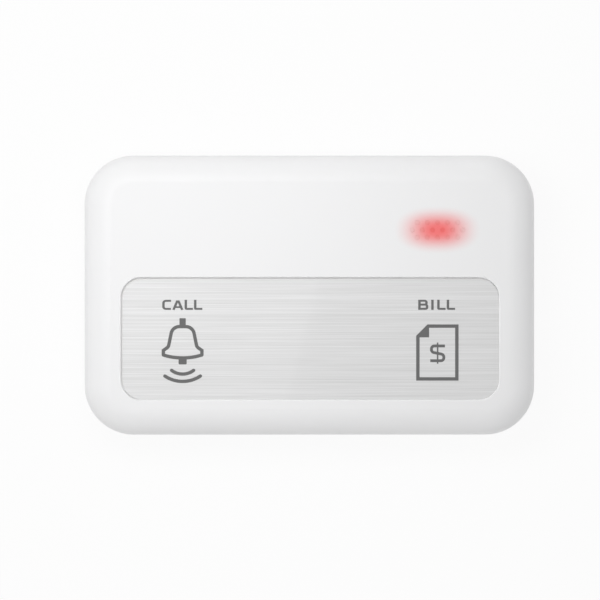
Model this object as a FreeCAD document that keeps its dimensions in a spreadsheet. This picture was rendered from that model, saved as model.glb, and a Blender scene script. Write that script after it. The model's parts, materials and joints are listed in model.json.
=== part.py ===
"""Waiter call button: a flat table-top transmitter with two keys under one film.

Millimetres. +X is right and +Y is away from the user, as the keys are read. +Z comes out of the
front face, and z = 0 is the table under the rubber feet, at the centre of the outline.
"""

import FreeCAD, Part
import math
import os
import Sketcher

doc = FreeCAD.newDocument("call_button")
sheet = doc.addObject("Spreadsheet::Sheet", "size")

SIZES = {
    # Case outline and shell
    "case_width": 87.0,
    "case_depth": 54.0,
    "case_height": 16.0,
    "corner_radius": 9.5,
    "top_edge_radius": 5.0,
    "bottom_edge_radius": 2.5,
    "wall": 2.0,
    "floor_thickness": 1.6,
    "parting_height": 5.0,
    "groove_depth": 0.35,
    "groove_width": 0.45,
    "tongue_height": 1.2,
    "tongue_thickness": 0.85,
    "tongue_gap": 0.1,
    # Recess for the film
    "recess_side": 6.95,
    "recess_front": 6.85,
    "recess_height": 23.6,
    "recess_radius": 3.9,
    "recess_depth": 0.9,
    "recess_web_drop": 0.3,
    "recess_margin": 1.0,
    "recess_rim": 0.25,
    "film_gap": 0.1,
    "film_thickness": 0.25,
    "adhesive_thickness": 0.1,
    # Keys
    "key_width": 18.0,
    "key_side": 2.9,
    "key_end": 3.8,
    "key_radius": 2.0,
    "key_gap": 0.15,
    "key_skin": 1.3,
    "key_skirt": 1.0,
    "key_flange": 1.0,
    "key_flange_thickness": 0.75,
    "key_play": 0.05,
    "flex_width": 2.0,
    "flex_depth": 0.4,
    # Status light
    "light_pitch": 1.95,
    "light_row_pitch": 1.41,
    "light_hole": 0.92,
    "peg_gap": 0.02,
    "light_skin": 1.2,
    "light_plate_side": 1.265,
    "light_plate_end": 1.43,
    "light_plate_thickness": 1.2,
    "light_well_gap": 0.1,
    "light_well_wall": 0.9,
    "light_well_clearance": 0.8,
    "light_boss_gap": 0.75,
    # Screws, posts and feet
    "post_inset": 7.5,
    "post_diameter": 5.0,
    "boss_diameter": 6.2,
    "case_screw_diameter": 2.2,
    "screw_clearance": 0.2,
    "thread_bite": 0.2,
    "case_screw_length": 8.0,
    "case_screw_head": 3.8,
    "case_screw_head_height": 1.2,
    "head_clearance": 0.2,
    "pilot_spare": 0.6,
    "cut_past": 1.0,
    "screw_slot_width": 0.6,
    "screw_slot_depth": 0.5,
    "foot_diameter": 7.6,
    "foot_gap": 0.2,
    "foot_proud": 0.7,
    "foot_inset": 0.5,
    "foot_edge": 0.3,
    # Circuit board
    "board_side": 11.5,
    "board_radius": 2.0,
    "board_thickness": 1.0,
    "board_screw_side": 2.5,
    "board_screw_end": 3.3,
    "board_boss": 4.0,
    "board_boss_gap": 0.35,
    "board_screw_diameter": 1.8,
    "board_screw_head": 3.2,
    "board_screw_head_height": 0.9,
    "board_screw_length": 4.0,
    # Tactile switches
    "switch_side": 6.0,
    "switch_body": 3.3,
    "switch_plate": 0.2,
    "switch_height": 4.3,
    "switch_travel": 0.25,
    "switch_cavity": 4.6,
    "switch_cavity_floor": 1.6,
    "stem_diameter": 3.4,
    "stem_gap": 0.2,
    "stem_play": 0.05,
    "dome_flat": 0.2,
    "dome_metal": 0.08,
    "leg_width": 0.7,
    "leg_metal": 0.2,
    "leg_reach": 1.5,
    "leg_rise": 1.0,
    "leg_spacing": 4.5,
    # Coin cell and its bay
    "cell_diameter": 24.5,
    "cell_height": 5.0,
    "cell_metal": 0.3,
    "cell_seal": 1.65,
    "cell_step": 0.6,
    "cell_front": 21.0,
    "cell_gap": 0.3,
    "cell_door_gap": 0.2,
    "cup_wall": 1.2,
    "cup_height": 3.4,
    "bay_floor": 1.5,
    "bay_side": 1.6,
    "contact_metal": 0.2,
    "contact_width": 4.0,
    "contact_foot": 3.0,
    "contact_notch_gap": 0.5,
    # Battery door
    "door_side": 2.35,
    "door_end": 2.45,
    "door_thickness": 1.2,
    "door_gap": 0.1,
    "door_tongue": 1.0,
    "door_tongue_thickness": 0.5,
    "door_tongue_setback": 1.5,
    "grip_length": 12.0,
    "grip_width": 0.8,
    "grip_pitch": 1.8,
    "grip_depth": 0.35,
    "grip_inset": 5.0,
    "grip_count": 5,
    "arrow_width": 6.0,
    "arrow_height": 4.0,
    "arrow_gap": 2.5,
    # Parts on the board
    "led_width": 3.5,
    "led_height": 2.8,
    "led_thickness": 1.9,
    "led_bowl": 2.2,
    "led_bowl_depth": 0.8,
    "chip_across": -9.0,
    "chip_inset": 12.5,
    "chip_width": 4.9,
    "chip_height": 3.9,
    "chip_thickness": 1.5,
    "chip_standoff": 0.1,
    "chip_lead_pitch": 1.27,
    "chip_lead_width": 0.42,
    "chip_lead_reach": 1.0,
    "chip_lead_rise": 0.85,
    "chip_lead_count": 4,
    "resonator_across": 1.0,
    "resonator_width": 5.0,
    "resonator_height": 3.5,
    "resonator_thickness": 1.1,
    "resonator_lid": 0.3,
    "transistor_across": 8.5,
    "transistor_inset": 10.5,
    "transistor_width": 2.9,
    "transistor_height": 1.3,
    "transistor_thickness": 1.0,
    "passive_length": 2.0,
    "passive_width": 1.25,
    "passive_pitch": 3.2,
    "passive_count": 6,
    "capacitor_thickness": 0.8,
    "capacitor_inset": 17.4,
    "resistor_thickness": 0.5,
    "resistor_inset": 20.4,
    "passive_across": -10.0,
    "antenna_metal": 0.8,
    "antenna_left": 1.5,
    "antenna_right": 9.5,
    "antenna_rise": 2.6,
    "antenna_bend": 1.2,
    "antenna_inset": 2.5,
}


def fill_sheet():
    """Write one named size to each row of the sheet."""
    for row, (name, value) in enumerate(SIZES.items(), 1):
        sheet.set(f"A{row}", name)
        sheet.set(f"B{row}", str(value))
        sheet.setAlias(f"B{row}", name)
    doc.recompute()


# Heights, from the table up
BASE = "size.foot_proud"
FLOOR_TOP = f"({BASE} + size.floor_thickness)"
DOOR_TOP = f"({BASE} + size.door_thickness)"
SLOT_TOP = f"({DOOR_TOP} + size.door_gap)"
BAY_FLOOR_TOP = f"({SLOT_TOP} + size.bay_floor)"
CELL_BOTTOM = f"({DOOR_TOP} + size.cell_door_gap)"
CELL_TOP = f"({CELL_BOTTOM} + size.cell_height)"
PARTING = "size.parting_height"
TOP = "size.case_height"
CEILING = f"({TOP} - size.wall)"
RECESS_FLOOR = f"({TOP} - size.recess_depth)"
WEB_UNDER = f"({CEILING} - size.recess_web_drop)"
FILM_BOTTOM = f"({RECESS_FLOOR} + size.adhesive_thickness)"
KEY_SKIN_UNDER = f"({FILM_BOTTOM} - size.key_skin)"
KEY_FLANGE_TOP = f"({WEB_UNDER} - size.key_play)"
KEY_BOTTOM = f"({KEY_FLANGE_TOP} - size.key_flange_thickness)"
BOARD_TOP = f"({KEY_SKIN_UNDER} - size.switch_height)"
BOARD_UNDER = f"({BOARD_TOP} - size.board_thickness)"
FOOT_TOP = f"({BASE} + size.foot_inset)"
HEAD_BOTTOM = f"({FOOT_TOP} + size.head_clearance)"
HEAD_TOP = f"({HEAD_BOTTOM} + size.case_screw_head_height)"

# Places and spans seen from above
LIGHT_ROWS = (5, 6, 5)
FRONT_EDGE = "(-size.case_depth / 2)"
RECESS_WIDTH = "(size.case_width - 2 * size.recess_side)"
RECESS_Y = f"({FRONT_EDGE} + size.recess_front + size.recess_height / 2)"
KEY_HEIGHT = "(size.recess_height - 2 * size.key_end)"
KEY_X = f"({RECESS_WIDTH} / 2 - size.key_side - size.key_width / 2)"
KEY_SIDES = {"call": f"-{KEY_X}", "bill": KEY_X}
POST_X = "(size.case_width / 2 - size.post_inset)"
POST_Y = "(size.case_depth / 2 - size.post_inset)"
BOARD_WIDTH = "(size.case_width - 2 * size.board_side)"
BOARD_SCREW_X = f"({BOARD_WIDTH} / 2 - size.board_screw_side)"
KEY_FRONT = f"({FRONT_EDGE} + size.recess_front + size.key_end - size.key_flange)"
BOARD_SCREW_Y = f"(size.board_boss_gap + size.board_boss / 2 - {KEY_FRONT})"
BOARD_BACK = f"({BOARD_SCREW_Y} + size.board_screw_end)"
LIGHT_FIELD = f"({max(LIGHT_ROWS) - 1} * size.light_pitch + size.light_hole)"
LIGHT_FIELD_HEIGHT = f"({len(LIGHT_ROWS) - 1} * size.light_row_pitch + size.light_hole)"
LIGHT_WIDTH = f"({LIGHT_FIELD} + 2 * size.light_plate_side)"
LIGHT_HEIGHT = f"({LIGHT_FIELD_HEIGHT} + 2 * size.light_plate_end)"
LIGHT_WELL_HALF = f"({LIGHT_HEIGHT} / 2 + size.light_well_gap + size.light_well_wall)"
LIGHT_X = KEY_X
LIGHT_Y = f"({BOARD_SCREW_Y} - size.board_boss / 2 - size.light_boss_gap - {LIGHT_WELL_HALF})"
CELL_Y = f"({FRONT_EDGE} + size.cell_front)"
CELL_BORE = "(size.cell_diameter + 2 * size.cell_gap)"
DOOR_HALF = f"({CELL_BORE} / 2 + size.door_side)"
DOOR_BACK = f"({CELL_Y} + {CELL_BORE} / 2 + size.door_end)"

UP = FreeCAD.Vector(0, 0, 1)
QUARTER = math.pi / 2
LEVEL_TOLERANCE = 1e-4


def number(expression):
    """Value of an expression of sheet cells, in millimetres."""
    return float(sheet.evalExpression(str(expression)))


def origin_feature(body, role):
    return next(item for item in body.Origin.OriginFeatures if item.Role == role)


def new_body(label):
    body = doc.addObject("PartDesign::Body", label)
    body.Label = label
    return body


def new_sketch(body, name, lift="0", role="XY_Plane"):
    """Sketch on one of the body's own origin planes, lifted along the plane's normal."""
    sketch = body.newObject("Sketcher::SketchObject", name)
    sketch.AttachmentSupport = [(origin_feature(body, role), "")]
    sketch.MapMode = "FlatFace"
    sketch.setExpression("AttachmentOffset.Base.z", lift)
    return sketch


def dimension(sketch, kind, where, expression):
    """Add a dimension to a sketch and bind it to an expression."""
    index = sketch.addConstraint(Sketcher.Constraint(kind, *where, number(expression)))
    sketch.setExpression(f"Constraints[{index}]", expression)


def pin_point(sketch, geometry, end, x, y):
    """Hold one point of a sketch at x, y from the sketch's origin."""
    dimension(sketch, "DistanceX", (-1, 1, geometry, end), x)
    dimension(sketch, "DistanceY", (-1, 1, geometry, end), y)


def circle(sketch, diameter, x="0", y="0"):
    ring = Part.Circle(FreeCAD.Vector(number(x), number(y), 0), UP, number(diameter) / 2)
    index = sketch.addGeometry(ring, False)
    dimension(sketch, "Diameter", (index,), diameter)
    pin_point(sketch, index, 3, x, y)


def polygon(sketch, points):
    """Closed outline of straight lines through points given as pairs of expressions."""
    corners = [FreeCAD.Vector(number(x), number(y), 0) for x, y in points]
    first = sketch.GeometryCount
    count = len(corners)
    for index, corner in enumerate(corners):
        sketch.addGeometry(Part.LineSegment(corner, corners[(index + 1) % count]), False)
    for index, (x, y) in enumerate(points):
        following = first + (index + 1) % count
        sketch.addConstraint(Sketcher.Constraint("Coincident", first + index, 2, following, 1))
        pin_point(sketch, first + index, 1, x, y)


def rectangle(sketch, width, height, x="0", y="0"):
    left, right = f"{x} - ({width}) / 2", f"{x} + ({width}) / 2"
    low, high = f"{y} - ({height}) / 2", f"{y} + ({height}) / 2"
    polygon(sketch, [(left, low), (right, low), (right, high), (left, high)])


def rounded_rectangle(sketch, width, height, radius, x="0", y="0"):
    """Four lines and four equal tangent arcs about the point x, y."""
    r = number(radius)
    left, right = number(f"{x} - ({width}) / 2"), number(f"{x} + ({width}) / 2")
    low, high = number(f"{y} - ({height}) / 2"), number(f"{y} + ({height}) / 2")
    runs = [
        ((left + r, low), (right - r, low)),
        ((right, low + r), (right, high - r)),
        ((right - r, high), (left + r, high)),
        ((left, high - r), (left, low + r)),
    ]
    centres = [(right - r, low + r), (right - r, high - r), (left + r, high - r), (left + r, low + r)]
    first = sketch.GeometryCount
    for turn, (run, centre) in enumerate(zip(runs, centres)):
        start, end = [FreeCAD.Vector(px, py, 0) for px, py in run]
        sketch.addGeometry(Part.LineSegment(start, end), False)
        ring = Part.Circle(FreeCAD.Vector(*centre, 0), UP, r)
        sketch.addGeometry(Part.ArcOfCircle(ring, (turn - 1) * QUARTER, turn * QUARTER), False)
    for turn in range(4):
        line, arc = first + 2 * turn, first + 2 * turn + 1
        following = first + (2 * turn + 2) % 8
        sketch.addConstraint(Sketcher.Constraint("Tangent", line, 2, arc, 1))
        sketch.addConstraint(Sketcher.Constraint("Tangent", arc, 2, following, 1))
        sketch.addConstraint(Sketcher.Constraint("Horizontal" if turn % 2 == 0 else "Vertical", line))
        if turn:
            sketch.addConstraint(Sketcher.Constraint("Equal", first + 1, arc))
    dimension(sketch, "Radius", (first + 1,), radius)
    dimension(sketch, "DistanceX", (-1, 1, first + 2, 1), f"{x} + ({width}) / 2")
    dimension(sketch, "DistanceX", (-1, 1, first + 6, 1), f"{x} - ({width}) / 2")
    dimension(sketch, "DistanceY", (-1, 1, first, 1), f"{y} - ({height}) / 2")
    dimension(sketch, "DistanceY", (-1, 1, first + 4, 1), f"{y} + ({height}) / 2")


def case_outline(sketch, inset):
    """Outline of the case, moved inwards by inset all round."""
    rounded_rectangle(
        sketch,
        f"size.case_width - 2 * ({inset})",
        f"size.case_depth - 2 * ({inset})",
        f"size.corner_radius - ({inset})",
    )


def grow(body, sketch, length, down=False):
    """Pad a sketch upwards, or downwards, along its plane's normal."""
    pad = body.newObject("PartDesign::Pad", "pad")
    pad.Profile = sketch
    pad.Reversed = down
    pad.setExpression("Length", length)
    doc.recompute()
    return pad


def carve(body, sketch, length, down=False):
    """Pocket a sketch upwards, or downwards, and make sure that it removed material."""
    before = body.Shape.Volume
    pocket = body.newObject("PartDesign::Pocket", "pocket")
    pocket.Profile = sketch
    pocket.Reversed = not down
    pocket.setExpression("Length", length)
    doc.recompute()
    if body.Shape.Volume >= before:
        raise ValueError(f"a pocket of {body.Label} removes nothing")
    return pocket


def spin(body, sketch):
    """Turn a profile of radius and height about the sketch's upright axis."""
    turned = body.newObject("PartDesign::Revolution", "turned")
    turned.Profile = sketch
    turned.ReferenceAxis = (sketch, ["V_Axis"])
    doc.recompute()
    return turned


def round_edges(body, chosen, radius, kind="PartDesign::Fillet"):
    """Fillet or chamfer the edges of the body that the function chosen picks."""
    names = [f"Edge{i}" for i, edge in enumerate(body.Shape.Edges, 1) if chosen(edge)]
    if not names:
        raise ValueError(f"no edge to round on {body.Label}")
    base = body.Tip
    dressed = body.newObject(kind, "edges")
    dressed.Base = (base, names)
    dressed.setExpression("Radius" if kind.endswith("Fillet") else "Size", radius)
    doc.recompute()
    return dressed


def at_height(height, half_width=None, centre_y=None, half_height=None):
    """Chooser of the edges that lie level at a height, inside a box if one is given."""
    level = number(height)

    def chosen(edge):
        box = edge.BoundBox
        if abs(box.ZMin - level) > LEVEL_TOLERANCE or abs(box.ZMax - level) > LEVEL_TOLERANCE:
            return False
        if half_width is None:
            return True
        middle = box.Center
        return abs(middle.x) < half_width and abs(middle.y - centre_y) < half_height

    return chosen


def repeat(body, features, x_span=None, y_span=None, x_count=2, y_count=2):
    """Repeat features on a grid that runs back from the first copy towards -X and -Y."""
    pattern = body.newObject("PartDesign::LinearPattern", "grid")
    pattern.Originals = features
    pattern.Direction = (origin_feature(body, "X_Axis"), [""])
    pattern.Direction2 = (origin_feature(body, "Y_Axis"), [""])
    pattern.Reversed = True
    pattern.Reversed2 = True
    pattern.Occurrences = x_count if x_span else 1
    pattern.Occurrences2 = y_count if y_span else 1
    if x_span:
        pattern.setExpression("Length", x_span)
    if y_span:
        pattern.setExpression("Length2", y_span)
    body.Tip = pattern
    doc.recompute()
    return pattern


def corner_circles(sketch, diameter, across, up):
    """Four equal circles, one in each quadrant."""
    for side in ("", "-"):
        for end in ("", "-"):
            circle(sketch, diameter, f"{side}{across}", f"{end}{up}")


def box(name, length, width, height, x, y, z):
    """Block centred on x and y that stands on z."""
    block = doc.addObject("Part::Box", name)
    block.setExpression("Length", length)
    block.setExpression("Width", width)
    block.setExpression("Height", height)
    block.setExpression("Placement.Base.x", f"{x} - ({length}) / 2")
    block.setExpression("Placement.Base.y", f"{y} - ({width}) / 2")
    block.setExpression("Placement.Base.z", z)
    return block


def group(label, members):
    """Separate solids that share one node."""
    bundle = doc.addObject("Part::Compound", label)
    bundle.Label = label
    bundle.Links = members
    doc.recompute()
    return bundle


# Case ---------------------------------------------------------------------------------------------


def key_windows(sketch, margin):
    """One rounded opening round each key, larger than the key by margin all round."""
    for x in KEY_SIDES.values():
        rounded_rectangle(
            sketch,
            f"size.key_width + 2 * ({margin})",
            f"{KEY_HEIGHT} + 2 * ({margin})",
            f"size.key_radius + ({margin})",
            x,
            RECESS_Y,
        )


def light_circles(sketch, diameter):
    """Rows of small circles, each row moved half a pitch from its neighbours."""
    middle = (len(LIGHT_ROWS) - 1) / 2
    for row, count in enumerate(LIGHT_ROWS):
        y = f"{LIGHT_Y} + {middle - row} * size.light_row_pitch"
        for column in range(count):
            x = f"{LIGHT_X} + {column - (count - 1) / 2} * size.light_pitch"
            circle(sketch, diameter, x, y)


def light_rectangle(sketch, margin):
    rectangle(
        sketch,
        f"{LIGHT_WIDTH} + 2 * ({margin})",
        f"{LIGHT_HEIGHT} + 2 * ({margin})",
        LIGHT_X,
        LIGHT_Y,
    )


def top_cover():
    """Moulded cover: shell, recess for the film, key windows, light holes, posts and bosses."""
    body = new_body("top_cover")
    outline = new_sketch(body, "outline", PARTING)
    case_outline(outline, "0")
    grow(body, outline, f"{TOP} - {PARTING}")
    round_edges(body, at_height(TOP), "size.top_edge_radius")

    cavity = new_sketch(body, "cavity", PARTING)
    case_outline(cavity, "size.wall")
    carve(body, cavity, f"{CEILING} - {PARTING}")
    round_edges(body, at_height(CEILING), "size.top_edge_radius - size.wall")

    rebate = new_sketch(body, "tongue_rebate", PARTING)
    case_outline(rebate, "size.wall - size.tongue_thickness - size.tongue_gap")
    carve(body, rebate, "size.tongue_height + size.tongue_gap")

    web = new_sketch(body, "recess_web", WEB_UNDER)
    rounded_rectangle(
        web,
        f"{RECESS_WIDTH} + 2 * size.recess_margin",
        "size.recess_height + 2 * size.recess_margin",
        "size.recess_radius + size.recess_margin",
        "0",
        RECESS_Y,
    )
    grow(body, web, f"{CEILING} - {WEB_UNDER}")

    posts = new_sketch(body, "screw_posts", PARTING)
    corner_circles(posts, "size.post_diameter", POST_X, POST_Y)
    grow(body, posts, f"{CEILING} - {PARTING}")

    bosses = new_sketch(body, "board_bosses", BOARD_TOP)
    corner_circles(bosses, "size.board_boss", BOARD_SCREW_X, BOARD_SCREW_Y)
    grow(body, bosses, f"{CEILING} - {BOARD_TOP}")

    well = new_sketch(body, "light_well", f"{BOARD_TOP} + size.light_well_clearance")
    light_rectangle(well, "size.light_well_gap + size.light_well_wall")
    light_rectangle(well, "size.light_well_gap")
    grow(body, well, f"{CEILING} - {BOARD_TOP} - size.light_well_clearance")

    seat = new_sketch(body, "light_seat", f"{TOP} - size.light_skin")
    light_rectangle(seat, "size.light_well_gap")
    carve(body, seat, f"{TOP} - size.light_skin - {WEB_UNDER}", down=True)

    recess = new_sketch(body, "recess", TOP)
    rounded_rectangle(recess, RECESS_WIDTH, "size.recess_height", "size.recess_radius", "0", RECESS_Y)
    carve(body, recess, "size.recess_depth", down=True)
    reach_x = number(f"{RECESS_WIDTH} / 2 + size.recess_rim")
    reach_y = number("size.recess_height / 2 + size.recess_rim")
    round_edges(body, at_height(TOP, reach_x, number(RECESS_Y), reach_y), "size.recess_rim")

    flex = new_sketch(body, "flex_rebate", RECESS_FLOOR)
    key_windows(flex, "size.flex_width")
    carve(body, flex, "size.flex_depth", down=True)

    windows = new_sketch(body, "key_windows", RECESS_FLOOR)
    key_windows(windows, "size.key_gap")
    carve(body, windows, f"{RECESS_FLOOR} - {WEB_UNDER}", down=True)

    lights = new_sketch(body, "light_holes", TOP)
    light_circles(lights, "size.light_hole")
    carve(body, lights, "size.light_skin", down=True)

    pilots = new_sketch(body, "post_pilots", PARTING)
    corner_circles(pilots, "size.case_screw_diameter - 2 * size.thread_bite", POST_X, POST_Y)
    depth = f"{HEAD_TOP} + size.case_screw_length + size.pilot_spare - {PARTING}"
    carve(body, pilots, depth)

    board_pilots = new_sketch(body, "board_pilots", BOARD_TOP)
    corner_circles(
        board_pilots,
        "size.board_screw_diameter - 2 * size.thread_bite",
        BOARD_SCREW_X,
        BOARD_SCREW_Y,
    )
    carve(body, board_pilots, "size.board_screw_length - size.board_thickness + size.pilot_spare")
    return body


def bottom_cover():
    """Tray: floor, wall with a tongue, screw bosses, battery bay and the slot for its door."""
    body = new_body("bottom_cover")
    outline = new_sketch(body, "outline", BASE)
    case_outline(outline, "0")
    grow(body, outline, f"{PARTING} - {BASE}")
    round_edges(body, at_height(BASE), "size.bottom_edge_radius")

    cavity = new_sketch(body, "cavity", FLOOR_TOP)
    case_outline(cavity, "size.wall")
    carve(body, cavity, f"{PARTING} - {FLOOR_TOP}")

    tongue = new_sketch(body, "tongue", FLOOR_TOP)
    case_outline(tongue, "size.wall - size.tongue_thickness")
    case_outline(tongue, "size.wall")
    grow(body, tongue, f"{PARTING} + size.tongue_height - {FLOOR_TOP}")

    groove = new_sketch(body, "shadow_groove", PARTING)
    case_outline(groove, "-size.cut_past")
    case_outline(groove, "size.groove_depth")
    carve(body, groove, "size.groove_width", down=True)

    bosses = new_sketch(body, "screw_bosses", FLOOR_TOP)
    corner_circles(bosses, "size.boss_diameter", POST_X, POST_Y)
    grow(body, bosses, f"{PARTING} - {FLOOR_TOP}")

    bay = new_sketch(body, "battery_bay", FLOOR_TOP)
    wide = f"{DOOR_HALF} + size.door_tongue + size.door_gap + size.bay_side"
    front = f"{FRONT_EDGE} + size.wall / 2"
    back = f"{DOOR_BACK} + size.door_gap + size.bay_side"
    polygon(bay, [(f"-({wide})", front), (wide, front), (wide, back), (f"-({wide})", back)])
    grow(body, bay, f"{BAY_FLOOR_TOP} - {FLOOR_TOP}")

    cup = new_sketch(body, "cell_cup", BAY_FLOOR_TOP)
    circle(cup, f"{CELL_BORE} + 2 * size.cup_wall", "0", CELL_Y)
    circle(cup, CELL_BORE, "0", CELL_Y)
    grow(body, cup, "size.cup_height")

    slot = new_sketch(body, "door_slot", BASE)
    half = f"{DOOR_HALF} + size.door_gap"
    past_edge = f"{FRONT_EDGE} - size.cut_past"
    slot_back = f"{DOOR_BACK} + size.door_gap"
    polygon(
        slot,
        [(half, past_edge), (half, slot_back), (f"-({half})", slot_back), (f"-({half})", past_edge)],
    )
    carve(body, slot, f"{SLOT_TOP} - {BASE}")

    rails = new_sketch(body, "door_rails", SLOT_TOP)
    rail = f"{DOOR_HALF} + size.door_tongue + size.door_gap"
    polygon(
        rails,
        [(rail, past_edge), (rail, slot_back), (f"-({rail})", slot_back), (f"-({rail})", past_edge)],
    )
    carve(body, rails, "size.door_tongue_thickness + 2 * size.door_gap", down=True)

    opening = new_sketch(body, "cell_opening", SLOT_TOP)
    circle(opening, CELL_BORE, "0", CELL_Y)
    carve(body, opening, f"{BAY_FLOOR_TOP} - {SLOT_TOP}")

    notch = new_sketch(body, "contact_notch", BAY_FLOOR_TOP)
    inner = "size.cell_diameter / 2"
    outer = f"{inner} + size.cell_gap + size.cup_wall + size.cut_past"
    side = "size.contact_width / 2 + size.contact_notch_gap"
    polygon(
        notch,
        [
            (inner, f"{CELL_Y} - ({side})"),
            (outer, f"{CELL_Y} - ({side})"),
            (outer, f"{CELL_Y} + ({side})"),
            (inner, f"{CELL_Y} + ({side})"),
        ],
    )
    carve(body, notch, "size.cup_height")

    feet = new_sketch(body, "foot_recesses", BASE)
    corner_circles(feet, "size.foot_diameter + 2 * size.foot_gap", POST_X, POST_Y)
    carve(body, feet, "size.foot_inset")

    heads = new_sketch(body, "head_recesses", FOOT_TOP)
    corner_circles(heads, "size.case_screw_head + 2 * size.screw_clearance", POST_X, POST_Y)
    carve(body, heads, f"{HEAD_TOP} - {FOOT_TOP}")

    holes = new_sketch(body, "screw_holes", HEAD_TOP)
    corner_circles(holes, "size.case_screw_diameter + 2 * size.screw_clearance", POST_X, POST_Y)
    carve(body, holes, f"{PARTING} - {HEAD_TOP}")
    return body


def battery_door():
    """Slice of the case floor with a tongue along each side, finger grooves and an arrow."""
    body = new_body("battery_door")
    outline = new_sketch(body, "outline", BASE)
    case_outline(outline, "0")
    grow(body, outline, f"{PARTING} - {BASE}")
    round_edges(body, at_height(BASE), "size.bottom_edge_radius")

    above = new_sketch(body, "above", DOOR_TOP)
    case_outline(above, "-size.cut_past")
    carve(body, above, f"{PARTING} - {DOOR_TOP}")

    around = new_sketch(body, "around", BASE)
    case_outline(around, "-size.cut_past")
    half = DOOR_HALF
    wide = f"{half} + size.door_tongue"
    front = f"{FRONT_EDGE} - size.cut_past / 2"
    setback = f"{FRONT_EDGE} + size.door_tongue_setback"
    polygon(
        around,
        [
            (f"-{half}", front),
            (half, front),
            (half, setback),
            (wide, setback),
            (wide, DOOR_BACK),
            (f"-({wide})", DOOR_BACK),
            (f"-({wide})", setback),
            (f"-{half}", setback),
        ],
    )
    carve(body, around, "size.door_thickness")

    lips = new_sketch(body, "beside_lips", BASE)
    beside = f"{wide} + size.cut_past"
    behind = f"{DOOR_BACK} + size.cut_past"
    for sign in ("", "-"):
        edge, far = f"{sign}({half})", f"{sign}({beside})"
        polygon(lips, [(edge, front), (far, front), (far, behind), (edge, behind)])
    carve(body, lips, "size.door_thickness - size.door_tongue_thickness")

    grip = new_sketch(body, "grip", BASE)
    rectangle(grip, "size.grip_length", "size.grip_width", "0", f"{FRONT_EDGE} + size.grip_inset")
    groove = carve(body, grip, "size.grip_depth")
    grooves = body.newObject("PartDesign::LinearPattern", "grip_grooves")
    grooves.Originals = [groove]
    grooves.Direction = (origin_feature(body, "Y_Axis"), [""])
    grooves.setExpression("Occurrences", "size.grip_count")
    grooves.setExpression("Length", "(size.grip_count - 1) * size.grip_pitch")
    body.Tip = grooves
    doc.recompute()

    arrow = new_sketch(body, "arrow", BASE)
    tip = f"{FRONT_EDGE} + size.grip_inset + (size.grip_count - 1) * size.grip_pitch + size.arrow_gap"
    tail = f"{tip} + size.arrow_height"
    polygon(arrow, [("0", tip), ("size.arrow_width / 2", tail), ("-size.arrow_width / 2", tail)])
    carve(body, arrow, "size.grip_depth")
    return body


def graphic_overlay():
    """Thin film that covers the whole recess and both keys."""
    body = new_body("graphic_overlay")
    film = new_sketch(body, "film", FILM_BOTTOM)
    rounded_rectangle(
        film,
        f"{RECESS_WIDTH} - 2 * size.film_gap",
        "size.recess_height - 2 * size.film_gap",
        "size.recess_radius - size.film_gap",
        "0",
        RECESS_Y,
    )
    grow(body, film, "size.film_thickness")
    return body


def overlay_adhesive():
    """Adhesive frame between the film and the recess floor, cut away round the keys."""
    body = new_body("overlay_adhesive")
    layer = new_sketch(body, "layer", RECESS_FLOOR)
    rounded_rectangle(
        layer,
        f"{RECESS_WIDTH} - 4 * size.film_gap",
        "size.recess_height - 4 * size.film_gap",
        "size.recess_radius - 2 * size.film_gap",
        "0",
        RECESS_Y,
    )
    key_windows(layer, "size.flex_width")
    grow(body, layer, "size.adhesive_thickness")
    return body


def key(side):
    """Hollow key plate with a flange that keeps it under the cover."""
    body = new_body(f"{side}_key")
    x = KEY_SIDES[side]
    plate = new_sketch(body, "plate", KEY_BOTTOM)
    rounded_rectangle(plate, "size.key_width", KEY_HEIGHT, "size.key_radius", x, RECESS_Y)
    grow(body, plate, f"{FILM_BOTTOM} - {KEY_BOTTOM}")

    flange = new_sketch(body, "flange", KEY_BOTTOM)
    rounded_rectangle(
        flange,
        "size.key_width + 2 * size.key_flange",
        f"{KEY_HEIGHT} + 2 * size.key_flange",
        "size.key_radius + size.key_flange",
        x,
        RECESS_Y,
    )
    grow(body, flange, "size.key_flange_thickness")

    hollow = new_sketch(body, "hollow", KEY_BOTTOM)
    rounded_rectangle(
        hollow,
        "size.key_width - 2 * size.key_skirt",
        f"{KEY_HEIGHT} - 2 * size.key_skirt",
        "size.key_radius - size.key_skirt",
        x,
        RECESS_Y,
    )
    carve(body, hollow, f"{KEY_SKIN_UNDER} - {KEY_BOTTOM}")
    return body


def light_guide():
    """Diffuser plate with one peg for each hole in the cover."""
    body = new_body("light_guide")
    seat = f"{TOP} - size.light_skin"
    plate = new_sketch(body, "plate", f"{seat} - size.light_plate_thickness")
    light_rectangle(plate, "0")
    grow(body, plate, "size.light_plate_thickness")
    pegs = new_sketch(body, "pegs", seat)
    light_circles(pegs, "size.light_hole - 2 * size.peg_gap")
    grow(body, pegs, "size.light_skin")
    return body


def rubber_feet():
    """Four round feet in the recesses that hide the case screws."""
    body = new_body("rubber_feet")
    feet = new_sketch(body, "feet", "0")
    corner_circles(feet, "size.foot_diameter", POST_X, POST_Y)
    grow(body, feet, FOOT_TOP)
    round_edges(body, at_height("0"), "size.foot_edge")
    return body


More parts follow.
